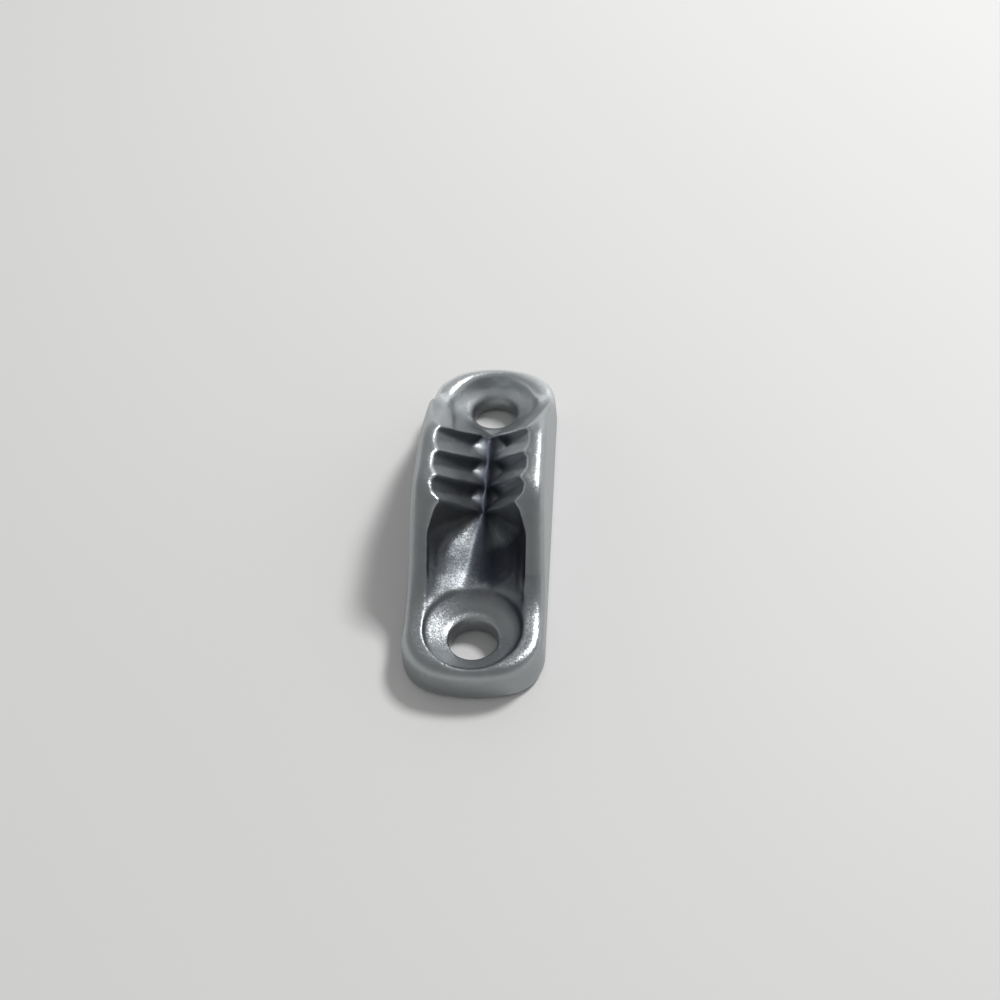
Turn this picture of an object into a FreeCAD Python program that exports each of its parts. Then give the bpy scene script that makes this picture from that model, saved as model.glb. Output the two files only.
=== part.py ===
import FreeCAD, Part
import math
import os
import Sketcher

# A small jam cleat for 3 to 5 mm cord, die cast in one piece. It lies along Y with its foot on z = 0.
# The round cord pocket is at the -Y end. The toothed V jaw is past the middle, and a low round
# foot pad closes the +Y end. A countersunk screw hole stands at each end on the centre line.

Vector = FreeCAD.Vector
doc = FreeCAD.newDocument("jam_cleat")

DIMENSIONS = {
    # foot print and outer walls
    "hole_spacing": 27.0,
    "end_margin": 4.75,
    "foot_half_width": 6.1,
    "foot_corner_share": 0.62,
    "foot_bow_share": 2.3,
    "wall_lean": 0.045,
    "end_lean": 0.09,
    "top_corner_share": 0.94,
    "top_bow_share": 1.12,
    "spare_height": 0.6,
    # side view of the rims, y measured from the near screw hole
    "near_rim_height": 3.5,
    "far_rim_height": 4.25,
    "peak_height": 10.2,
    "brow_height": 7.35,
    "rise_start": 3.1,
    "rise_end": 9.9,
    "fall_start": 17.5,
    "brow": 23.8,
    "fall_foot": 0.1,
    "rise_blend": 6.0,
    "peak_blend": 4.5,
    "fall_blend": 6.0,
    "brow_blend": 7.0,
    "foot_blend": 1.0,
    "rim_edge_radius": 0.9,
    # near pocket
    "rim_width": 1.95,
    "pocket_centre": 0.35,
    "pocket_wall_lean": 0.02,
    "bowl_rim_drop": 0.28,
    # lead-in: across it a middle strip, then a flank, a wall foot and a wall on each side, all
    # rising; the rises are those at its mouth, and every other section climbs by a share of them
    "strip_half_width": 0.85,
    "strip_start_half_width": 1.3,
    "flank_share": 0.67,
    "wall_foot_share": 0.82,
    "flank_rise": 1.15,
    "wall_foot_rise": 1.85,
    "wall_rise": 3.65,
    "start_drop": 0.4,
    "start_climb": 0.03,
    "bend": 3.1,
    "bend_share": 0.1,
    "bend_climb": 0.18,
    "upturn": 5.3,
    "upturn_share": 0.6,
    "upturn_climb": 0.48,
    "mouth": 7.2,
    "mouth_drop": 0.55,
    "shoulder": 8.7,
    "shoulder_drop": 0.4,
    "shoulder_climb": 0.78,
    "shoulder_width_share": 0.84,
    "tip_drop": 0.1,
    "tip_climb": 0.08,
    # screw seats
    "screw_hole_radius": 2.1,
    "seat_height": 2.2,
    "seat_lip": 0.2,
    "far_bowl_radius": 2.9,
    "far_floor": 2.57,
    # toothed jaw, y measured from the near screw hole
    "channel_floor": 4.0,
    "pit_depth": 0.6,
    "pit_half_width": 0.1,
    "pit_tip_share": 0.2,
    "jaw_tip": 12.4,
    "tooth_count": 3.0,
    "pitch_at_floor": 3.2,
    "pitch_at_top": 2.85,
    "tooth_slant": 0.66,
    "jaw_tip_half_gap": 0.15,
    "gap_growth": 0.145,
    "jaw_flare": 0.53,
    "tooth_depth": 1.05,
    "tooth_overcut": 0.2,
    "root_near_share": 0.52,
    "root_near_shift": -0.17,
    "root_far_share": 0.6,
    "root_far_shift": 0.27,
    "jaw_run_in": 2.5,
    "jaw_run_out": 2.2,
    "run_out_share": 0.45,
    # facets that slant inwards across the rims, and ramps that fall to the far pad; both start
    # at the last teeth, spread is how fast they widen in plan and fall is their slope along Y
    "facet_spread": 1.106,
    "facet_fall": 0.714,
    "facet_lift": 0.15,
    "facet_floor_rise": 0.35,
    "ramp_spread": 0.856,
    "ramp_fall": 0.795,
    "ramp_share_low": 0.867,
    "ramp_share_high": 0.44,
    # far pad
    "far_lip_drop": 0.65,
    "far_dish_shift": 1.0,
    "far_wall_lean": 0.2,
}


class Size:
    """A length that knows its value and the sheet formula that keeps it bound."""

    def __init__(self, value, text):
        self.value = float(value)
        self.text = text

    @staticmethod
    def of(thing):
        return thing if isinstance(thing, Size) else Size(thing, repr(float(thing)))

    def __add__(self, other):
        other = Size.of(other)
        return Size(self.value + other.value, "(%s + %s)" % (self.text, other.text))

    def __sub__(self, other):
        other = Size.of(other)
        return Size(self.value - other.value, "(%s - %s)" % (self.text, other.text))

    def __mul__(self, other):
        other = Size.of(other)
        return Size(self.value * other.value, "(%s * %s)" % (self.text, other.text))

    def __truediv__(self, other):
        other = Size.of(other)
        return Size(self.value / other.value, "(%s / %s)" % (self.text, other.text))

    def __neg__(self):
        return Size(-self.value, "(-1 * %s)" % self.text)


def fill_sheet(values):
    sheet = doc.addObject("Spreadsheet::Sheet", "Sizes")
    for row, (name, value) in enumerate(values.items(), start=1):
        sheet.set("A%d" % row, name)
        sheet.set("B%d" % row, str(value))
        sheet.setAlias("B%d" % row, name)
    doc.recompute()
    return {name: Size(sheet.get(name), "Sizes." + name) for name in values}


SIZE = fill_sheet(DIMENSIONS)
body = doc.addObject("PartDesign::Body", "cleat_body")
body.Label = "cleat_body"


def origin_plane(role):
    return next(item for item in body.Origin.OriginFeatures if item.Role == role)


def new_sketch(name, role, offset=None):
    """A sketch on one of the body's origin planes, moved along the plane's normal by offset."""
    sketch = body.newObject("Sketcher::SketchObject", name)
    sketch.AttachmentSupport = [(origin_plane(role), "")]
    sketch.MapMode = "FlatFace"
    if offset is not None:
        sketch.AttachmentOffset = FreeCAD.Placement(Vector(0, 0, offset.value), FreeCAD.Rotation())
        sketch.setExpression("AttachmentOffset.Base.z", offset.text)
    return sketch


def bind(sketch, kind, references, size):
    index = sketch.addConstraint(Sketcher.Constraint(kind, *references, size.value))
    sketch.setExpression("Constraints[%d]" % index, size.text)


def pin(sketch, geometry, end, x, y):
    """Holds a point at (x, y) from the sketch origin."""
    bind(sketch, "DistanceX", (-1, 1, geometry, end), Size.of(x))
    bind(sketch, "DistanceY", (-1, 1, geometry, end), Size.of(y))


def point_of(x, y):
    return Vector(Size.of(x).value, Size.of(y).value, 0)


def polygon(sketch, corners):
    """A closed outline of straight lines with every corner held in place."""
    first = sketch.GeometryCount
    points = [point_of(*corner) for corner in corners]
    count = len(points)
    for i in range(count):
        sketch.addGeometry(Part.LineSegment(points[i], points[(i + 1) % count]), False)
    for i in range(count):
        sketch.addConstraint(Sketcher.Constraint("Coincident", first + i, 2, first + (i + 1) % count, 1))
    for i, corner in enumerate(corners):
        pin(sketch, first + i, 1, *corner)


def rounded_path(sketch, corners, radii):
    """Straight lines through held corners, closed, where a corner with a radius gets a tangent arc."""
    points = [point_of(*corner) for corner in corners]
    count = len(points)
    starts = list(points)
    ends = list(points)
    for i, radius in enumerate(radii):
        if radius is None:
            continue
        before = (points[i - 1] - points[i]).normalize()
        after = (points[(i + 1) % count] - points[i]).normalize()
        reach = radius.value / math.tan(before.getAngle(after) / 2)
        ends[i] = points[i] + before * reach
        starts[i] = points[i] + after * reach
    for i in range(count):
        sketch.addGeometry(Part.LineSegment(starts[i], ends[(i + 1) % count]), False)
    for i, radius in enumerate(radii):
        line_in = (i - 1) % count
        if radius is None:
            sketch.addConstraint(Sketcher.Constraint("Coincident", line_in, 2, i, 1))
            pin(sketch, i, 1, *corners[i])
            continue
        middle = (points[i] - (points[i] * 2 - ends[i] - starts[i]) * 0.5)
        bisector = (middle - points[i]).normalize()
        half_angle = (ends[i] - points[i]).getAngle(bisector)
        centre = points[i] + bisector * (radius.value / math.sin(half_angle))
        crown = centre - bisector * radius.value
        arc = sketch.addGeometry(Part.Arc(ends[i], crown, starts[i]), False)
        turn = (points[i] - points[i - 1]).cross(points[(i + 1) % count] - points[i]).z
        arc_in, arc_out = (1, 2) if turn > 0 else (2, 1)
        sketch.addConstraint(Sketcher.Constraint("Tangent", line_in, 2, arc, arc_in))
        sketch.addConstraint(Sketcher.Constraint("Tangent", i, 1, arc, arc_out))
        bind(sketch, "Radius", (arc,), radius)
        vertex = sketch.addGeometry(Part.Point(points[i]), True)
        pin(sketch, vertex, 1, *corners[i])
        sketch.addConstraint(Sketcher.Constraint("PointOnObject", vertex, 1, line_in))
        sketch.addConstraint(Sketcher.Constraint("PointOnObject", vertex, 1, i))


def capsule_outline(sketch, half_width, half_length, corner, bow):
    """Two straight sides, four corner arcs and two gently bowed ends, all tangent."""
    w = half_width.value
    r = corner.value
    b = bow.value
    end_centre = half_length.value - b
    corner_y = end_centre + math.sqrt((b - r) ** 2 - (w - r) ** 2)
    corner_x = w - r
    meet = Vector(corner_x, corner_y - end_centre, 0).normalize()
    right_top = Vector(w, corner_y, 0)
    joint = Vector(0, end_centre, 0) + meet * b

    def flip(point, x, y):
        return Vector(point.x * x, point.y * y, 0)

    def corner_arc(x, y):
        centre = Vector(corner_x * x, corner_y * y, 0)
        lean = (flip(Vector(1, 0, 0), x, y) + flip(meet, x, y)).normalize()
        return Part.Arc(flip(right_top, x, y), centre + lean * r, flip(joint, x, y))

    def end_arc(y):
        return Part.Arc(flip(joint, 1, y), Vector(0, half_length.value * y, 0), flip(joint, -1, y))

    sketch.addGeometry(Part.LineSegment(flip(right_top, 1, -1), right_top), False)
    sketch.addGeometry(corner_arc(1, 1), False)
    sketch.addGeometry(end_arc(1), False)
    sketch.addGeometry(corner_arc(-1, 1), False)
    sketch.addGeometry(Part.LineSegment(flip(right_top, -1, 1), flip(right_top, -1, -1)), False)
    sketch.addGeometry(corner_arc(-1, -1), False)
    sketch.addGeometry(end_arc(-1), False)
    sketch.addGeometry(corner_arc(1, -1), False)
    # every piece runs anticlockwise, so each one's end meets the next one's start
    for piece in range(8):
        sketch.addConstraint(Sketcher.Constraint("Tangent", piece, 2, (piece + 1) % 8, 1))
    bind(sketch, "DistanceX", (-1, 1, 0, 1), half_width)
    bind(sketch, "DistanceX", (4, 1, -1, 1), half_width)
    for arc in (1, 3, 5, 7):
        bind(sketch, "Radius", (arc,), corner)
    for arc, side in ((2, 1), (6, -1)):
        sketch.addConstraint(Sketcher.Constraint("PointOnObject", arc, 3, -2))
        bind(sketch, "Radius", (arc,), bow)
        bind(sketch, "DistanceY", (-1, 1, arc, 3), (half_length - bow) * side)


def subtract_loft(name, sections):
    loft = body.newObject("PartDesign::SubtractiveLoft", name)
    loft.Profile = sections[0]
    loft.Sections = sections[1:]
    loft.Ruled = True
    doc.recompute()
    return loft


def from_near_hole(distance):
    """The y of a place that is measured from the near screw hole."""
    return Size.of(distance) - SIZE["hole_spacing"] / 2


FAR_HOLE_Y = SIZE["hole_spacing"] / 2
NEAR_HOLE_Y = -FAR_HOLE_Y
HALF_LENGTH = SIZE["hole_spacing"] / 2 + SIZE["end_margin"]
POCKET_HALF_WIDTH = SIZE["foot_half_width"] - SIZE["rim_width"]
ABOVE_ALL = SIZE["peak_height"] + SIZE["spare_height"]


def outer_block():
    """The drafted outer walls, from the squarer foot to the rounder top."""
    foot_half_width = SIZE["foot_half_width"]
    foot = new_sketch("foot_outline", "XY_Plane")
    capsule_outline(foot, foot_half_width, HALF_LENGTH,
                    foot_half_width * SIZE["foot_corner_share"], foot_half_width * SIZE["foot_bow_share"])
    top_half_width = foot_half_width - ABOVE_ALL * SIZE["wall_lean"]
    top_half_length = HALF_LENGTH - ABOVE_ALL * SIZE["end_lean"]
    top = new_sketch("top_outline", "XY_Plane", ABOVE_ALL)
    capsule_outline(top, top_half_width, top_half_length,
                    top_half_width * SIZE["top_corner_share"], top_half_width * SIZE["top_bow_share"])
    doc.recompute()
    loft = body.newObject("PartDesign::AdditiveLoft", "outer_block")
    loft.Profile = foot
    loft.Sections = [top]
    loft.Ruled = True
    doc.recompute()
    return loft


def side_view():
    """Cuts the block down to the rims' line: low end, steep rise, domed peak, bowed fall, low end."""
    sketch = new_sketch("rim_line", "YZ_Plane")
    beyond = HALF_LENGTH + 2
    above = ABOVE_ALL + 2
    corners = [
        (-beyond, SIZE["near_rim_height"]),
        (from_near_hole(SIZE["rise_start"]), SIZE["near_rim_height"]),
        (from_near_hole(SIZE["rise_end"]), SIZE["peak_height"]),
        (from_near_hole(SIZE["fall_start"]), SIZE["peak_height"]),
        (from_near_hole(SIZE["brow"]), SIZE["brow_height"]),
        (FAR_HOLE_Y + SIZE["fall_foot"], SIZE["far_rim_height"]),
        (beyond, SIZE["far_rim_height"]),
        (beyond, above),
        (-beyond, above),
    ]
    blends = [SIZE[name] for name in ("rise_blend", "peak_blend", "fall_blend", "brow_blend", "foot_blend")]
    radii = [None] + blends + [None, None, None]
    rounded_path(sketch, corners, radii)
    doc.recompute()
    cut = body.newObject("PartDesign::Pocket", "rim_cut")
    cut.Profile = sketch
    cut.Type = 1
    cut.Midplane = True
    doc.recompute()
    return cut


def rim_edges(shape):
    """The edges where the rims' top meets the outer walls, all round."""
    names = []
    floor = min(SIZE["near_rim_height"].value, SIZE["far_rim_height"].value) - 0.01
    for index, edge in enumerate(shape.Edges, start=1):
        box = edge.BoundBox
        crosses = box.YLength < 1e-4 and box.ZLength < 1e-4
        if box.ZMin > floor and not crosses:
            names.append("Edge%d" % index)
    return names


def round_rims(base):
    fillet = body.newObject("PartDesign::Fillet", "rim_rounding")
    fillet.Base = (base, rim_edges(base.Shape))
    fillet.Radius = SIZE["rim_edge_radius"].value
    fillet.setExpression("Radius", SIZE["rim_edge_radius"].text)
    doc.recompute()
    return fillet


def upright_turned_cut(name, centre_y, profile):
    """Turns a profile of (radius, height) corners about an upright axis on the centre line."""
    sketch = new_sketch(name + "_profile", "XZ_Plane", -centre_y)
    polygon(sketch, profile)
    doc.recompute()
    groove = body.newObject("PartDesign::Groove", name)
    groove.Profile = sketch
    groove.ReferenceAxis = (sketch, ["V_Axis"])
    groove.Angle = 360
    doc.recompute()
    return groove


def near_pocket():
    """The round end of the pocket, all bowl from its wall down to the seat about the screw hole."""
    bowl_rim = SIZE["near_rim_height"] - SIZE["bowl_rim_drop"]
    lean = (ABOVE_ALL - bowl_rim) * SIZE["pocket_wall_lean"]
    profile = [
        (0, SIZE["seat_height"]),
        (SIZE["screw_hole_radius"] + SIZE["seat_lip"], SIZE["seat_height"]),
        (POCKET_HALF_WIDTH, bowl_rim),
        (POCKET_HALF_WIDTH + lean, ABOVE_ALL),
        (0, ABOVE_ALL),
    ]
    return upright_turned_cut("near_pocket", from_near_hole(SIZE["pocket_centre"]), profile)


def lead_in_section(name, distance, strip_x, strip_z, climb, width=Size(1, "1")):
    """A section across the lead-in: a level strip, then flanks that steepen up to upright walls."""
    half = POCKET_HALF_WIDTH
    lean = (ABOVE_ALL - SIZE["near_rim_height"]) * SIZE["pocket_wall_lean"]
    right = [
        (strip_x * width, strip_z),
        (half * SIZE["flank_share"] * width, strip_z + SIZE["flank_rise"] * climb),
        (half * SIZE["wall_foot_share"] * width, strip_z + SIZE["wall_foot_rise"] * climb),
        (half * width, strip_z + SIZE["wall_rise"] * climb),
        (half * width + lean, ABOVE_ALL),
    ]
    left = [(-x, z) for x, z in reversed(right)]
    sketch = new_sketch(name, "XZ_Plane", -from_near_hole(distance))
    polygon(sketch, right + left)
    return sketch


def lead_in():
    """The trough that narrows from the full pocket to the gap between the first pair of teeth."""
    floor = SIZE["channel_floor"]
    wide = SIZE["strip_start_half_width"]
    narrow = SIZE["strip_half_width"]
    low = SIZE["near_rim_height"] - SIZE["start_drop"]
    high = floor - SIZE["mouth_drop"]

    def on_the_way(a, b, share):
        return a + (b - a) * share

    sections = [lead_in_section("lead_in_start", SIZE["pocket_centre"], wide, low, SIZE["start_climb"])]
    for name in ("bend", "upturn"):
        share = SIZE[name + "_share"]
        sections.append(lead_in_section("lead_in_" + name, SIZE[name], on_the_way(wide, narrow, share),
                                        on_the_way(low, high, share), SIZE[name + "_climb"]))
    sections += [
        lead_in_section("lead_in_mouth", SIZE["mouth"], narrow, high, Size(1, "1")),
        lead_in_section("lead_in_shoulder", SIZE["shoulder"], narrow, floor - SIZE["shoulder_drop"],
                        SIZE["shoulder_climb"], SIZE["shoulder_width_share"]),
        lead_in_section("lead_in_tip", SIZE["jaw_tip"], narrow, floor - SIZE["tip_drop"],
                        SIZE["tip_climb"], SIZE["jaw_tip_half_gap"] / POCKET_HALF_WIDTH),
    ]
    doc.recompute()
    return subtract_loft("lead_in", sections)


def crest_point(k, above):
    """Where crest k of the right-hand teeth stands, at a height above the channel floor."""
    share = above / (ABOVE_ALL - SIZE["channel_floor"])
    pitch = SIZE["pitch_at_floor"] + (SIZE["pitch_at_top"] - SIZE["pitch_at_floor"]) * share
    x = SIZE["jaw_tip_half_gap"] + SIZE["gap_growth"] * k + SIZE["jaw_flare"] * above
    y = from_near_hole(SIZE["jaw_tip"]) + pitch * k - SIZE["tooth_slant"] * above
    return x, y, pitch, share


def root_points(k, above):
    """The two root corners of the notch between crests k and k + 1, the nearer one first."""
    x, y, pitch, share = crest_point(k, above)
    blunt_x = POCKET_HALF_WIDTH + SIZE["tooth_overcut"]
    corners = []
    for root in ("root_near", "root_far"):
        along = SIZE[root + "_share"] + SIZE[root + "_shift"] * share
        low_x = x + SIZE["tooth_depth"] + SIZE["gap_growth"] * along
        corners.append((low_x + (blunt_x - low_x) * share, y + pitch * along))
    return corners


def jaw_outline(name, above):
    """The zigzag outline of the toothed jaw at one height, crests and roots on both sides."""
    count = int(SIZE["tooth_count"].value)
    first_x, first_y, pitch, _ = crest_point(0, above)
    last_x, last_y, _, _ = crest_point(count, above)
    right = [(first_x, first_y - pitch * SIZE["jaw_run_in"]), (first_x, first_y)]
    for k in range(count):
        right += root_points(k, above)
        right.append(crest_point(k + 1, above)[:2])
    right.append((last_x * SIZE["run_out_share"], last_y + pitch * SIZE["jaw_run_out"]))
    left = [(-x, y) for x, y in reversed(right)]
    sketch = new_sketch(name, "XY_Plane", SIZE["channel_floor"] + above)
    polygon(sketch, right + left)
    return sketch


def toothed_jaw():
    """The V channel with its slanted notches, which open and deepen towards the top."""
    sections = [
        jaw_outline("jaw_floor", Size.of(0)),
        jaw_outline("jaw_crown", ABOVE_ALL - SIZE["channel_floor"]),
    ]
    doc.recompute()
    return subtract_loft("toothed_jaw", sections)


def pit_outline(name, depth, crest_x, root_x):
    """The lozenges between the tooth tips, strung along the centre line."""
    count = int(SIZE["tooth_count"].value)
    right = [(crest_x(0), crest_point(0, Size.of(0))[1])]
    for k in range(count):
        for x, y in root_points(k, Size.of(0)):
            right.append((root_x(x), y))
        right.append((crest_x(k + 1), crest_point(k + 1, Size.of(0))[1]))
    left = [(-x, y) for x, y in reversed(right)]
    sketch = new_sketch(name, "XY_Plane", SIZE["channel_floor"] - depth)
    polygon(sketch, right + left)
    return sketch


def tooth_pits():
    """Carries the notches on down below the channel floor until both sides meet in a V."""
    thin = SIZE["jaw_tip_half_gap"] * SIZE["pit_tip_share"]
    sections = [
        pit_outline("pit_mouths", Size.of(0), lambda k: crest_point(k, Size.of(0))[0], lambda x: x),
        pit_outline("pit_bottoms", SIZE["pit_depth"], lambda k: thin, lambda x: SIZE["pit_half_width"]),
    ]
    doc.recompute()
    return subtract_loft("tooth_pits", sections)


def past_last_teeth(level, spread, fall):
    """The y on the centre line of a slanting plane that runs through the foot of the last crests."""
    last_x, last_y, _, _ = crest_point(int(SIZE["tooth_count"].value), Size.of(0))
    return last_y - spread * last_x - (level - SIZE["channel_floor"]) / fall


def facet_outline(name, level):
    """The plan of both slanting facets at one height: an arrow head wider than the cleat."""
    spread = SIZE["facet_spread"]
    apex_y = past_last_teeth(level - SIZE["facet_lift"], spread, SIZE["facet_fall"])
    beyond_x = SIZE["foot_half_width"] + 1
    beyond_y = HALF_LENGTH + 2
    sketch = new_sketch(name, "XY_Plane", level)
    polygon(sketch, [
        (0, apex_y),
        (beyond_x, apex_y + spread * beyond_x),
        (beyond_x, beyond_y),
        (-beyond_x, beyond_y),
        (-beyond_x, apex_y + spread * beyond_x),
    ])
    return sketch


def brow_facets():
    """Slants the far part of the rims down and inwards, level with the crests of the last teeth."""
    sections = [
        facet_outline("facet_floor", SIZE["far_rim_height"] + SIZE["facet_floor_rise"]),
        facet_outline("facet_crown", ABOVE_ALL),
    ]
    doc.recompute()
    return subtract_loft("brow_facets", sections)


def far_outline(name, level, half_width, dish_y, ramp_share):
    """The plan of the far recess: a blunt arrow head for the ramps and a round end for the dish."""
    sketch = new_sketch(name, "XY_Plane", level)
    spread = SIZE["ramp_spread"]
    apex_y = past_last_teeth(level, spread, SIZE["ramp_fall"])
    ramp_x = half_width * ramp_share
    points = [
        (Size.of(0), apex_y),
        (ramp_x, apex_y + spread * ramp_x),
        (half_width, dish_y),
        (-half_width, dish_y),
        (-ramp_x, apex_y + spread * ramp_x),
    ]
    places = [point_of(*point) for point in points]
    crown = point_of(0, dish_y + half_width)
    sketch.addGeometry(Part.LineSegment(places[0], places[1]), False)
    sketch.addGeometry(Part.LineSegment(places[1], places[2]), False)
    sketch.addGeometry(Part.Arc(places[2], crown, places[3]), False)
    sketch.addGeometry(Part.LineSegment(places[3], places[4]), False)
    sketch.addGeometry(Part.LineSegment(places[4], places[0]), False)
    for i in range(5):
        sketch.addConstraint(Sketcher.Constraint("Coincident", i, 2, (i + 1) % 5, 1))
    for i, point in enumerate(points):
        pin(sketch, i, 1, *point)
    bind(sketch, "DistanceY", (-1, 1, 2, 3), dish_y)
    return sketch


def far_recess():
    """The ramps that fall from the last teeth and the bowl of the far pad."""
    lip = SIZE["far_rim_height"] - SIZE["far_lip_drop"]
    lean = (ABOVE_ALL - lip) * SIZE["far_wall_lean"]
    dish_y = FAR_HOLE_Y - SIZE["far_dish_shift"]
    low = SIZE["ramp_share_low"]
    high = SIZE["ramp_share_high"]
    sections = [
        far_outline("far_recess_floor", SIZE["far_floor"], SIZE["far_bowl_radius"], FAR_HOLE_Y, low),
        far_outline("far_recess_lip", lip, POCKET_HALF_WIDTH, dish_y, low),
        far_outline("far_recess_top", ABOVE_ALL, POCKET_HALF_WIDTH + lean, dish_y - lean, high),
    ]
    doc.recompute()
    return subtract_loft("far_recess", sections)


def far_seat():
    profile = [
        (0, SIZE["seat_height"]),
        (SIZE["screw_hole_radius"] + SIZE["seat_lip"], SIZE["seat_height"]),
        (SIZE["far_bowl_radius"], SIZE["far_floor"]),
        (SIZE["far_bowl_radius"], SIZE["far_rim_height"]),
        (0, SIZE["far_rim_height"]),
    ]
    return upright_turned_cut("far_seat", FAR_HOLE_Y, profile)


def screw_holes():
    sketch = new_sketch("screw_holes_outline", "XY_Plane")
    radius = SIZE["screw_hole_radius"]
    for i, y in enumerate((NEAR_HOLE_Y, FAR_HOLE_Y)):
        sketch.addGeometry(Part.Circle(point_of(0, y), Vector(0, 0, 1), radius.value), False)
        pin(sketch, i, 3, 0, y)
        bind(sketch, "Radius", (i,), radius)
    doc.recompute()
    holes = body.newObject("PartDesign::Pocket", "screw_holes")
    holes.Profile = sketch
    holes.Type = 1
    holes.Midplane = True
    doc.recompute()
    return holes


def build():
    block = outer_block()
    cut = expect_change(side_view(), block, -1)
    rounded = expect_change(round_rims(cut), cut, -1)
    pocket = expect_change(near_pocket(), rounded, -1)
    latest = expect_change(lead_in(), pocket, -1)
    for step in (toothed_jaw, tooth_pits, brow_facets, far_recess, far_seat, screw_holes):
        latest = expect_change(step(), latest, -1)


def expect_change(feature, before, sign):
    """Stops the build if a feature didn't take material away (-1) or add it (1)."""
    change = feature.Shape.Volume - before.Shape.Volume
    print("%-18s %+9.3f mm3" % (feature.Name, change))
    if change * sign <= 0:
        raise ValueError("%s changed the volume by %.3f mm3" % (feature.Name, change))
    return feature


def check_document():
    for item in doc.Objects:
        if "Invalid" in item.State or "Error" in item.State:
            raise ValueError("%s failed: %s" % (item.Name, item.State))
    shape = body.Shape
    if shape.isNull() or not shape.isValid() or len(shape.Solids) != 1:
        raise ValueError("cleat_body is not one valid solid")
    return shape


build()
doc.recompute()
cleat = check_document()
os.makedirs("parts", exist_ok=True)
cleat.exportStep("parts/%s.step" % body.Label)
print("%s: %.1f mm3" % (body.Label, cleat.Volume))
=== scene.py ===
import math

import bmesh
import bpy
import numpy as np
from bpy.props import FloatProperty, FloatVectorProperty, IntProperty, PointerProperty
from mathutils import Matrix, Vector
from mathutils.bvhtree import BVHTree


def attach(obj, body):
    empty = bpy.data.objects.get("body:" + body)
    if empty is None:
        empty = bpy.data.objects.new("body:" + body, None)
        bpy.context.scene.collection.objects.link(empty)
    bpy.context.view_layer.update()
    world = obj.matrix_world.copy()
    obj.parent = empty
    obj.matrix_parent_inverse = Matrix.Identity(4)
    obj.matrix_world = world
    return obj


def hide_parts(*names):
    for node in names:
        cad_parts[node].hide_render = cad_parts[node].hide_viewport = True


bl_info = {
    "name": "Jam Cleat",
    "version": (1, 0, 0),
    "blender": (4, 5, 0),
    "location": "View3D > Sidebar > Jam Cleat",
    "description": "Dresses the packed jam cleat as a satin die-cast part and sets up its studio",
    "category": "Object",
}

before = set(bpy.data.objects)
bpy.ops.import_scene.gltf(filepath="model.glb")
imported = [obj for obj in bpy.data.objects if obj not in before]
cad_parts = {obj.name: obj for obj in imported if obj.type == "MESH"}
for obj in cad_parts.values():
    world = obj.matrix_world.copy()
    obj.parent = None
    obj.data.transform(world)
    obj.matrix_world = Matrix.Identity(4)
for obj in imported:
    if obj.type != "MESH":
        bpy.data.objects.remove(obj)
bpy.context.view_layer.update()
MM = 0.001
NODE = "cleat_body"
BODY = "root"

# Where the skin changes, in mm: each fade's start or end, then its length

NEAR_HOLE_Y = -13.5
BOWL_RADIUS = (3.3, 0.8)
JAW_START_Y = (-5.4, 1.2)
JAW_END_Y = (8.5, 1.5)
TOOTH_TIPS_X = (0.4, 1.0)
LEFT_SIDE_LIFT_X = (0.2, 1.2)
FAR_END_Y = (9.4, 3.5)
DISH_START_Y = (10.2, 1.0)
DISH_SIDES_X = (5.2, 0.6)
DISH_END_Y = (17.9, 0.5)
FOOT_EDGE_Z = (0.5, 0.3)

# How strong the painted highlight on the far end is, and how far the painted shade in the channel
# is lifted on the teeth and on the left side, from 0 to 1

FAR_END_HIGHLIGHT_STRENGTH = 0.9
TEETH_SHADE_LIFT = 0.72
LEFT_SIDE_SHADE_LIFT = 0.4

# How the skin is made and read

WELD_DISTANCE = 0.0005 * MM
SMOOTH_STEP = 0.5
SWELL_LEVEL = 0.62
SHARP_BEND = 0.10
DEEP_RECESS = 0.2
UPWARD_NORMAL_Z = (0.05, 0.45)
RAY_START = 0.06 * MM
RAY_REACH = 20 * MM
GRAZING_RAY = 0.05

# The metal's patterns: scales are counted in one metre

CLOUD_SCALE = 420
CLOUD_TINTS = ((0.93, 0.96, 1.0, 1), (1.0, 1.0, 0.985, 1))
CLOUD_ROUGHNESS = 0.16
EDGE_POLISH = 0.08
RECESS_ROUGHNESS = 0.16
PORE_SCALE = 5200
PORE_STRENGTH = 0.25
PORE_DEPTH = 0.02 * MM

# The room, in metres, and how its light spreads

TABLE_HALF_WIDTH = 3.0
WINDOW_PLACE = (0.19, 0.21, 0.345)
HORIZON_FALLOFF = 2.6
REAR_SLOPE = 0.4
MIDDLE_LEVEL = 0.6
FRAME_WIDTH_MM = 36


# Sizes and colours a user would change


class CastingSizes(bpy.types.PropertyGroup):
    grain: FloatProperty(
        name="Remesh size", description="Edge length of the even skin laid over the solid",
        default=0.14 * MM, min=0.1 * MM, max=1 * MM, unit="LENGTH", precision=5)
    soften: IntProperty(
        name="Softening",
        description="Smoothing passes that round every edge, as die casting does",
        default=10, min=0, max=60)
    melt: IntProperty(
        name="Melting",
        description="More smoothing passes in the far dish and round the foot's edge",
        default=110, min=0, max=400)
    waviness: FloatProperty(
        name="Waviness", description="Height of the slow unevenness of the cast skin",
        default=0.012 * MM, min=0, max=0.2 * MM, unit="LENGTH", precision=6)
    wave_length: FloatProperty(
        name="Wave length", description="Distance between the slow swells of the skin",
        default=2.4 * MM, min=0.1 * MM, max=20 * MM, unit="LENGTH", precision=5)
    rays: IntProperty(
        name="Sky rays",
        description="Directions tried at each point to find how far it lies in a recess",
        default=48, min=8, max=400)


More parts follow.
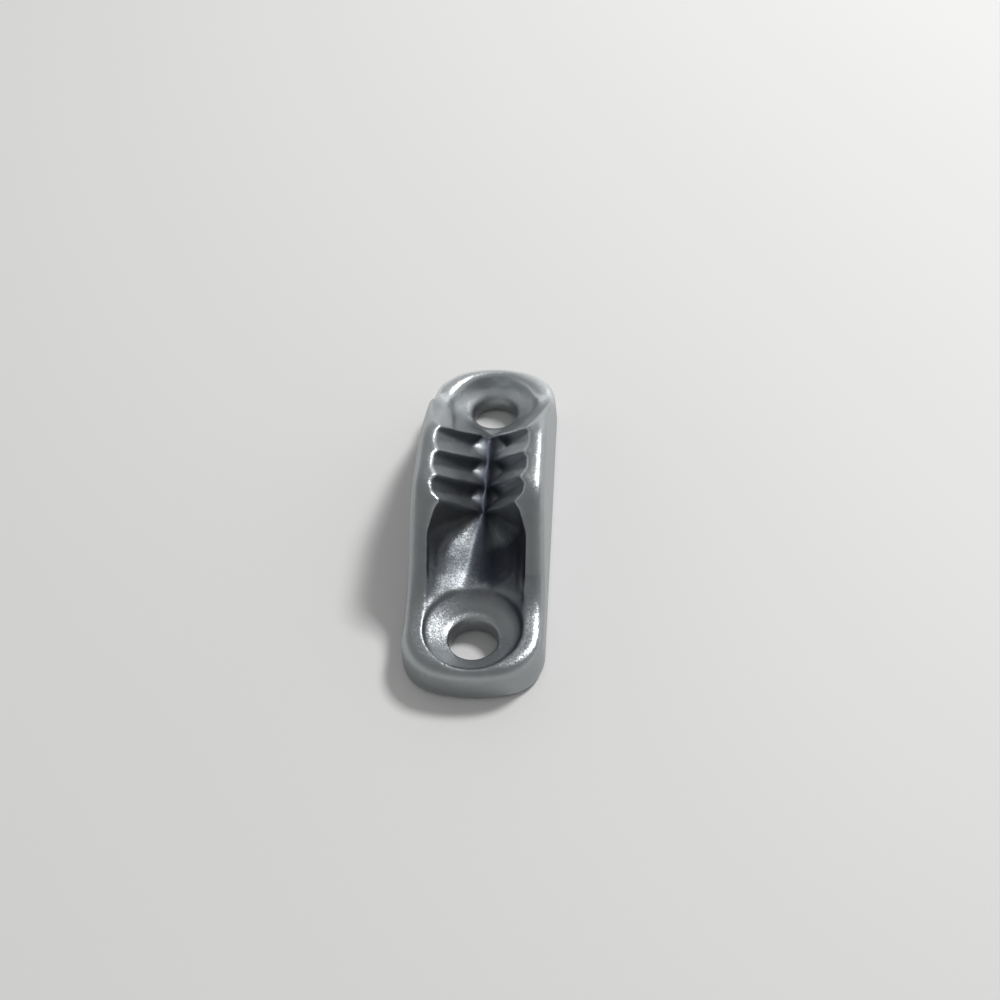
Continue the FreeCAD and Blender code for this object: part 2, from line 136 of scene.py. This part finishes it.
class MetalFinish(bpy.types.PropertyGroup):
    colour: FloatVectorProperty(
        name="Metal", description="Colour of the satin aluminium",
        default=(0.35, 0.363, 0.37), size=3, min=0, max=1, subtype="COLOR")
    # Lighter metal on worn edges; the same colour also makes the painted highlight on the far end
    wear_and_highlight_colour: FloatVectorProperty(
        name="Rubbed edge",
        description="Colour of the metal where cord and handling have rubbed it brighter",
        default=(0.66, 0.68, 0.685), size=3, min=0, max=1, subtype="COLOR")
    # Painted shade: this dark colour is laid deep in the channel, where shade falls
    painted_shade_colour: FloatVectorProperty(
        name="Recess",
        description="Colour of the duller skin deep in the channel, which tumbling doesn't reach",
        default=(0.062, 0.068, 0.085), size=3, min=0, max=1, subtype="COLOR")
    roughness: FloatProperty(
        name="Roughness", description="Mean roughness of the satin skin",
        default=0.37, min=0, max=1, subtype="FACTOR")
    fleck_size: FloatProperty(
        name="Fleck size", description="Width of the crystal faces that make the metal sparkle",
        default=0.10 * MM, min=0.02 * MM, max=1 * MM, unit="LENGTH", precision=5)
    fleck_tilt: FloatProperty(
        name="Fleck tilt", description="How far the crystal faces lean away from the surface",
        default=0.13, min=0, max=1, subtype="FACTOR")


class Studio(bpy.types.PropertyGroup):
    floor_colour: FloatVectorProperty(
        name="Floor", description="Colour of the pale table",
        default=(0.80, 0.80, 0.79), size=3, min=0, max=1, subtype="COLOR")
    lens: FloatProperty(
        name="Lens", description="Focal length for a 36 mm wide frame",
        default=43.01, min=10, max=200, unit="CAMERA")
    eye: FloatVectorProperty(
        name="Eye", description="Where the camera stands, from the middle of the foot",
        default=(9.65 * MM, -70.02 * MM, 85.31 * MM),
        size=3, subtype="XYZ", unit="LENGTH", precision=5)
    pitch: FloatProperty(
        name="Pitch", description="How far the camera looks down",
        default=math.radians(48.92), subtype="ANGLE")
    heading: FloatProperty(
        name="Heading", description="Turn of the view from +Y towards +X",
        default=math.radians(-6.66), subtype="ANGLE")
    roll: FloatProperty(
        name="Roll", description="Turn of the picture about the line of sight",
        default=math.radians(-3.77), subtype="ANGLE")
    lamp_energy: FloatProperty(
        name="Window", description="Power of the soft lamp on the right",
        default=1.27, min=0, unit="POWER")
    lamp_width: FloatProperty(
        name="Window width", description="Side of the soft lamp on the right",
        default=0.09, min=0.01, unit="LENGTH")
    sky: FloatProperty(
        name="Room light", description="Strength of the room light from straight above",
        default=0.30, min=0)
    glow: FloatProperty(
        name="Horizon",
        description="Extra strength of the room light low down, most of it behind the cleat",
        default=1.15, min=0)


# Building blocks for node trees


def feed(tree, entry, value):
    """Links a socket to a node's input, or sets a plain value on it."""
    if isinstance(value, bpy.types.NodeSocket):
        tree.links.new(value, entry)
    else:
        entry.default_value = value


def add(tree, kind, inputs=None, **settings):
    """A new node with its settings, and its inputs fed from sockets or plain values."""
    node = tree.nodes.new(kind)
    for name, value in settings.items():
        setattr(node, name, value)
    for name, value in (inputs or {}).items():
        feed(tree, node.inputs[name], value)
    return node


def maths(tree, operation, *values):
    """The result of a Math node."""
    return add(tree, "ShaderNodeMath", dict(enumerate(values)), operation=operation).outputs[0]


def vector_maths(tree, operation, inputs):
    """The result of a Vector Math node."""
    return add(tree, "ShaderNodeVectorMath", inputs, operation=operation).outputs[0]


def mix_colour(tree, factor, a, b, blend="MIX"):
    """The result of a Mix node on two colours."""
    inputs = {0: factor, 6: a, 7: b}
    node = add(tree, "ShaderNodeMix", inputs, data_type="RGBA", blend_type=blend)
    return node.outputs[2]


def new_group(name, kind, inputs, outputs):
    """An empty node group with its named sockets, and the nodes at its two ends."""
    group = bpy.data.node_groups.new(name, kind)
    for way, sockets in (("INPUT", inputs), ("OUTPUT", outputs)):
        for title, value_kind in sockets.items():
            group.interface.new_socket(
                name=title, in_out=way, socket_type="NodeSocket" + value_kind)
    return group, add(group, "NodeGroupInput").outputs, add(group, "NodeGroupOutput").inputs


# The metal


def crystal_flecks_group():
    """Tiny flat crystal faces over the metal, each leaning its own way: the normal they give."""
    group, inlet, outlet = new_group(
        "crystal_flecks", "ShaderNodeTree",
        {"Vector": "Vector", "Size": "Float", "Tilt": "Float"}, {"Normal": "Vector"})
    scale = maths(group, "DIVIDE", 1.0, inlet["Size"])
    cells = add(group, "ShaderNodeTexVoronoi", {"Vector": inlet["Vector"], "Scale": scale})
    lean = vector_maths(group, "SUBTRACT", {0: cells.outputs["Color"], 1: (0.5, 0.5, 0.5)})
    lean = vector_maths(group, "SCALE", {0: lean, "Scale": inlet["Tilt"]})
    surface = add(group, "ShaderNodeNewGeometry").outputs["Normal"]
    leaning = vector_maths(group, "ADD", {0: surface, 1: lean})
    feed(group, outlet["Normal"], vector_maths(group, "NORMALIZE", {0: leaning}))
    return group


def cast_metal(finish):
    """Satin die-cast aluminium: cool grey, cloudy and sparkling, lighter on worn edges, with a
    painted highlight on the far end and painted shade deep in the channel.
    """
    material = bpy.data.materials.new("satin_cast_aluminium")
    material.use_nodes = True
    tree = material.node_tree
    place = add(tree, "ShaderNodeTexCoord").outputs["Object"]
    clouds = add(tree, "ShaderNodeTexNoise", {
        "Vector": place, "Scale": CLOUD_SCALE, "Detail": 4, "Roughness": 0.6}).outputs["Fac"]
    wear, far_highlight, painted_shade = (
        add(tree, "ShaderNodeAttribute", attribute_name=name).outputs["Fac"]
        for name in ("edge_wear", "far_end_painted_highlight", "channel_painted_shade"))

    # Worn edges, and the painted highlight on the far end, go towards the lighter colour
    wear_and_highlight = maths(tree, "MAXIMUM", maths(tree, "MULTIPLY", wear, clouds), far_highlight)
    metal = mix_colour(tree, wear_and_highlight, (*finish.colour, 1), (*finish.wear_and_highlight_colour, 1))
    # Painted shade: deep in the channel the colour goes towards the dark colour
    metal = mix_colour(tree, painted_shade, metal, (*finish.painted_shade_colour, 1))
    tint = mix_colour(tree, clouds, *CLOUD_TINTS)
    metal = mix_colour(tree, 1.0, metal, tint, "MULTIPLY")

    least = finish.roughness - CLOUD_ROUGHNESS / 2
    rough = maths(tree, "MULTIPLY_ADD", clouds, CLOUD_ROUGHNESS, least)
    rough = maths(tree, "MULTIPLY_ADD", wear, -EDGE_POLISH, rough)
    # The same painted-shade mask also makes the deep channel rougher
    rough = maths(tree, "MULTIPLY_ADD", painted_shade, RECESS_ROUGHNESS, rough)

    flecks = add(tree, "ShaderNodeGroup", {
        "Vector": place, "Size": finish.fleck_size, "Tilt": finish.fleck_tilt,
    }, node_tree=crystal_flecks_group())
    pores = add(tree, "ShaderNodeTexNoise", {"Vector": place, "Scale": PORE_SCALE, "Detail": 3})
    bump = add(tree, "ShaderNodeBump", {
        "Strength": PORE_STRENGTH, "Distance": PORE_DEPTH,
        "Height": pores.outputs["Fac"], "Normal": flecks.outputs["Normal"]})

    shader = tree.nodes["Principled BSDF"]
    feed(tree, shader.inputs["Metallic"], 1.0)
    feed(tree, shader.inputs["Base Color"], metal)
    feed(tree, shader.inputs["Roughness"], rough)
    feed(tree, shader.inputs["Normal"], bump.outputs["Normal"])
    return material


# The casting


def cast_skin_tree(material):
    """Geometry Nodes: gives a closed skin the slow unevenness of a casting, and its metal."""
    tree, inlet, outlet = new_group(
        "cast_skin", "GeometryNodeTree",
        {"Geometry": "Geometry", "Waviness": "Float", "Wave Length": "Float"},
        {"Geometry": "Geometry"})
    place = add(tree, "GeometryNodeInputPosition").outputs[0]
    normal = add(tree, "GeometryNodeInputNormal").outputs[0]
    scale = maths(tree, "DIVIDE", 1.0, inlet["Wave Length"])
    swell = add(tree, "ShaderNodeTexNoise", {"Vector": place, "Scale": scale, "Detail": 2})
    height = maths(tree, "SUBTRACT", swell.outputs["Fac"], SWELL_LEVEL)
    height = maths(tree, "MULTIPLY", height, inlet["Waviness"])
    push = vector_maths(tree, "SCALE", {0: normal, "Scale": height})
    skin = inlet["Geometry"]
    for kind, inputs in (
            ("GeometryNodeSetPosition", {"Offset": push}),
            ("GeometryNodeSetShadeSmooth", {}),
            ("GeometryNodeRealizeInstances", {}),
            ("GeometryNodeSetMaterial", {"Material": material})):
        skin = add(tree, kind, {"Geometry": skin, **inputs}).outputs[0]
    feed(tree, outlet["Geometry"], skin)
    return tree


def set_inputs(modifier, values):
    """Sets a Geometry Nodes modifier's inputs by the names of their sockets."""
    for item in modifier.node_group.interface.items_tree:
        if item.item_type == "SOCKET" and item.in_out == "INPUT" and item.name in values:
            modifier[item.identifier] = values[item.name]


def place_object(name, data):
    """A new object in the scene, at the origin."""
    made = bpy.data.objects.new(name, data)
    bpy.context.scene.collection.objects.link(made)
    return made


def welded_copy(node, name):
    """The CAD node's loose triangles joined into one closed mesh, as a new object."""
    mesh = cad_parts[node].data.copy()
    mesh.name = name
    skin = bmesh.new()
    skin.from_mesh(mesh)
    bmesh.ops.remove_doubles(skin, verts=skin.verts, dist=WELD_DISTANCE)
    skin.to_mesh(mesh)
    skin.free()
    return place_object(name, mesh)


def smooth(piece, name, passes, group=""):
    """Adds smoothing passes over the whole piece, or as far as a vertex group says."""
    modifier = piece.modifiers.new(name, "SMOOTH")
    modifier.factor = SMOOTH_STEP
    modifier.iterations = passes
    modifier.vertex_group = group


def bake(piece):
    """Turns a piece with its modifiers into a plain mesh."""
    bpy.context.view_layer.update()
    graph = bpy.context.evaluated_depsgraph_get()
    mesh = bpy.data.meshes.new_from_object(
        piece.evaluated_get(graph), preserve_all_data_layers=True, depsgraph=graph)
    mesh.name = piece.name
    piece.modifiers.clear()
    piece.data = mesh


def rise(values, start, length):
    """Goes from 0 to 1 over the given length past the start."""
    return np.clip((values - start) / length, 0, 1)


def fall(values, end, length):
    """Goes from 1 to 0 over the given length before the end."""
    return np.clip((end - values) / length, 0, 1)


def eased(fade):
    """A fade that starts and ends gently."""
    return fade * fade * (3 - 2 * fade)


class Skin:
    """The points of a mesh, their normals and their neighbours, for working out values on it."""

    def __init__(self, mesh):
        self.mesh = mesh
        self.count = len(mesh.vertices)
        self.points = self.read("co")
        self.normals = self.read("normal")
        ends = np.empty(len(mesh.edges) * 2, dtype=np.int64)
        mesh.edges.foreach_get("vertices", ends)
        self.a, self.b = ends.reshape(-1, 2).T
        self.valence = np.bincount(ends, minlength=self.count)

    def read(self, name):
        values = np.empty(self.count * 3)
        self.mesh.vertices.foreach_get(name, values)
        return values.reshape(-1, 3)

    def around(self, values):
        """The mean of each point's neighbours."""
        total = np.bincount(self.a, values[self.b], self.count)
        total += np.bincount(self.b, values[self.a], self.count)
        return total / np.maximum(self.valence, 1)

    def calmed(self, values, passes):
        """The values, drawn halfway to their neighbours in each pass."""
        for _ in range(passes):
            values = 0.5 * values + 0.5 * self.around(values)
        return values

    def store(self, name, values):
        """Keeps the values as an attribute of the mesh, from 0 to 1."""
        layer = self.mesh.attributes.new(name, "FLOAT", "POINT")
        layer.data.foreach_set("value", np.clip(values, 0, 1).astype(np.float32))

    def soft_places(self):
        """Where smoothing goes on for longer: in the far dish and along the foot's edge."""
        x, y, z = (self.points / MM).T
        dish = rise(y, *DISH_START_Y) * fall(np.abs(x), *DISH_SIDES_X) * fall(y, *DISH_END_Y)
        return np.maximum(dish, fall(z, *FOOT_EDGE_Z))

    def edge_wear(self):
        """How sharply the skin bends outwards at each point, from 0 on flats to 1 on edges."""
        span = np.linalg.norm(self.points[self.a] - self.points[self.b], axis=1).mean()
        middle = np.stack([self.around(along) for along in self.points.T], axis=1)
        bend = ((self.points - middle) * self.normals).sum(axis=1) / span
        return self.calmed(bend, passes=3) / SHARP_BEND

    def openness(self, rays):
        """The share of its sky that each point sees past the casting itself, from 0 to 1."""
        faces = [face.vertices[:] for face in self.mesh.polygons]
        tree = BVHTree.FromPolygons(self.points.tolist(), faces)
        golden_angle = math.pi * (3 - math.sqrt(5))
        seen = np.zeros(self.count)
        most = np.zeros(self.count)
        starts = self.points + self.normals * RAY_START
        for i in range(rays):
            z = 1 - (2 * i + 1) / rays
            ring = math.sqrt(1 - z * z)
            turn = i * golden_angle
            way = Vector((ring * math.cos(turn), ring * math.sin(turn), z))
            share = self.normals @ np.array(way)
            for point in np.nonzero(share > GRAZING_RAY)[0]:
                most[point] += share[point]
                if tree.ray_cast(starts[point], way, RAY_REACH)[0] is None:
                    seen[point] += share[point]
        return self.calmed(seen / np.maximum(most, 0.01), passes=2)

    def far_end_painted_highlight(self):
        """Painted highlight: how much lighter the far end's upper faces are made, standing in for
        the light they catch.
        """
        along = rise(self.points[:, 1] / MM, *FAR_END_Y)
        upper = rise(self.normals[:, 2], *UPWARD_NORMAL_Z)
        return self.calmed(FAR_END_HIGHLIGHT_STRENGTH * eased(along) * upper, passes=4)

    def channel_painted_shade(self, openness):
        """Painted shade: how much darker the skin is made where the channel is deep, standing in
        for the shade that falls there: most in the lead-in, less in the teeth and on the left side,
        none in the screw seats.
        """
        x, y, _ = (self.points / MM).T
        deep = rise(1 - openness, 0, DEEP_RECESS)
        past_bowl = rise(np.hypot(x, y - NEAR_HOLE_Y), *BOWL_RADIUS)
        # Less painted shade on the teeth away from the narrow gap, and on the left side
        crests = TEETH_SHADE_LIFT * rise(y, *JAW_START_Y) * rise(np.abs(x), *TOOTH_TIPS_X)
        past_jaw = rise(y, *JAW_END_Y)
        side = LEFT_SIDE_SHADE_LIFT * rise(-x, *LEFT_SIDE_LIFT_X)
        painted_shade = deep * past_bowl * (1 - crests) * (1 - past_jaw) * (1 - side)
        return self.calmed(painted_shade, passes=2)


class CLEAT_OT_casting(bpy.types.Operator):
    """Builds the soft-edged casting over the solid and gives it its metal"""
    bl_idname = "jam_cleat.casting"
    bl_label = "Casting"

    def execute(self, context):
        sizes = context.scene.cleat_sizes
        metal = cast_metal(context.scene.cleat_metal)
        piece = welded_copy(NODE, "cleat_casting")
        even = piece.modifiers.new("even_skin", "REMESH")
        even.mode = "VOXEL"
        even.voxel_size = sizes.grain
        even.use_smooth_shade = True
        smooth(piece, "soft_edges", sizes.soften)
        bake(piece)
        self.melt(piece, sizes.melt)
        cast = piece.modifiers.new("cast_skin", "NODES")
        cast.node_group = cast_skin_tree(metal)
        set_inputs(cast, {"Waviness": sizes.waviness, "Wave Length": sizes.wave_length})
        bake(piece)
        skin = Skin(piece.data)
        skin.store("edge_wear", skin.edge_wear())
        # Painted highlight on the far end's upper faces
        skin.store("far_end_painted_highlight", skin.far_end_painted_highlight())
        # Painted shade, from how little sky each point sees past the casting
        skin.store("channel_painted_shade", skin.channel_painted_shade(skin.openness(sizes.rays)))
        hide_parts(NODE)
        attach(piece, BODY)
        return {"FINISHED"}

    def melt(self, piece, passes):
        """Rounds the far dish's wall and the foot's edge further than the rest."""
        weights = Skin(piece.data).soft_places()
        group = piece.vertex_groups.new(name="soft_places")
        for point in np.nonzero(weights)[0]:
            group.add([int(point)], float(weights[point]), "REPLACE")
        smooth(piece, "melted", passes, group.name)


# The stage


def pale_floor(colour):
    """The matt, pale table."""
    material = bpy.data.materials.new("pale_table")
    material.use_nodes = True
    shader = material.node_tree.nodes["Principled BSDF"]
    shader.inputs["Base Color"].default_value = (*colour, 1)
    shader.inputs["Roughness"].default_value = 0.55
    shader.inputs["Specular IOR Level"].default_value = 0.2
    return material


class CLEAT_OT_stage(bpy.types.Operator):
    """Sets the pale table, the room light, the window lamp and the camera"""
    bl_idname = "jam_cleat.stage"
    bl_label = "Stage"

    def execute(self, context):
        scene = context.scene
        studio = scene.cleat_studio
        self.table(studio)
        self.room(scene, studio)
        self.window(studio)
        self.camera(scene, studio)
        scene.view_settings.view_transform = "Standard"
        return {"FINISHED"}

    def table(self, studio):
        half = TABLE_HALF_WIDTH
        corners = [(-half, -half, 0), (half, -half, 0), (half, half, 0), (-half, half, 0)]
        mesh = bpy.data.meshes.new("table_top")
        mesh.from_pydata(corners, [], [(0, 1, 2, 3)])
        mesh.materials.append(pale_floor(studio.floor_colour))
        top = place_object("table_top", mesh)

    def room(self, scene, studio):
        """Light from all round, stronger towards the horizon and most so behind the cleat."""
        world = bpy.data.worlds.new("room")
        world.use_nodes = True
        scene.world = world
        tree = world.node_tree
        way = add(tree, "ShaderNodeTexCoord").outputs["Generated"]
        parts = add(tree, "ShaderNodeSeparateXYZ", {0: way}).outputs
        low = maths(tree, "SUBTRACT", 1.0, maths(tree, "ABSOLUTE", parts["Z"]))
        low = maths(tree, "POWER", low, HORIZON_FALLOFF)
        rear = maths(tree, "MULTIPLY_ADD", parts["Y"], REAR_SLOPE, MIDDLE_LEVEL)
        low = maths(tree, "MULTIPLY", low, rear)
        light = tree.nodes["Background"].inputs
        feed(tree, light["Color"], (1, 1, 1, 1))
        feed(tree, light["Strength"], maths(tree, "MULTIPLY_ADD", low, studio.glow, studio.sky))

    def window(self, studio):
        """One soft lamp on the right, a little behind the cleat."""
        data = bpy.data.lights.new("window_lamp", "AREA")
        data.size = studio.lamp_width
        data.energy = studio.lamp_energy
        lamp = place_object("window_lamp", data)
        lamp.location = WINDOW_PLACE
        lamp.rotation_euler = (-Vector(WINDOW_PLACE)).to_track_quat("-Z", "Y").to_euler()

    def camera(self, scene, studio):
        """The camera, where the photo was taken from and turned as it was."""
        heading, pitch, roll = studio.heading, studio.pitch, studio.roll
        ahead = Vector((
            math.sin(heading) * math.cos(pitch),
            math.cos(heading) * math.cos(pitch),
            -math.sin(pitch)))
        right = Vector((math.cos(heading), -math.sin(heading), 0))
        up = right.cross(ahead)
        across = math.cos(roll) * right + math.sin(roll) * up
        upward = math.cos(roll) * up - math.sin(roll) * right
        data = bpy.data.cameras.new("photo_camera")
        data.sensor_width = FRAME_WIDTH_MM
        data.lens = studio.lens
        data.clip_start = 1 * MM
        data.clip_end = 10
        eye = place_object("photo_camera", data)
        turn = Matrix((across, upward, -ahead)).transposed().to_4x4()
        eye.matrix_world = Matrix.Translation(studio.eye) @ turn
        scene.camera = eye


class CLEAT_PT_panel(bpy.types.Panel):
    """Lists the cleat's sizes, finish and stage, with a button for each step"""
    bl_idname = "CLEAT_PT_panel"
    bl_label = "Jam Cleat"
    bl_space_type = "VIEW_3D"
    bl_region_type = "UI"
    bl_category = "Jam Cleat"

    def draw(self, context):
        for heading, name, operator in STEPS:
            box = self.layout.box()
            box.label(text=heading)
            group = getattr(context.scene, name)
            for prop in group.bl_rna.properties.keys():
                if prop not in ("rna_type", "name"):
                    box.prop(group, prop)
            if operator:
                box.operator(operator)


STEPS = (
    ("Casting", "cleat_sizes", CLEAT_OT_casting.bl_idname),
    ("Metal", "cleat_metal", None),
    ("Stage", "cleat_studio", CLEAT_OT_stage.bl_idname),
)
CLASSES = (CastingSizes, MetalFinish, Studio, CLEAT_OT_casting, CLEAT_OT_stage, CLEAT_PT_panel)


def register():
    for cls in CLASSES:
        bpy.utils.register_class(cls)
    bpy.types.Scene.cleat_sizes = PointerProperty(type=CastingSizes)
    bpy.types.Scene.cleat_metal = PointerProperty(type=MetalFinish)
    bpy.types.Scene.cleat_studio = PointerProperty(type=Studio)


def unregister():
    del bpy.types.Scene.cleat_studio
    del bpy.types.Scene.cleat_metal
    del bpy.types.Scene.cleat_sizes
    for cls in reversed(CLASSES):
        bpy.utils.unregister_class(cls)


def main():
    register()
    bpy.ops.jam_cleat.casting()
    bpy.ops.jam_cleat.stage()


if __name__ == "__main__":
    main()
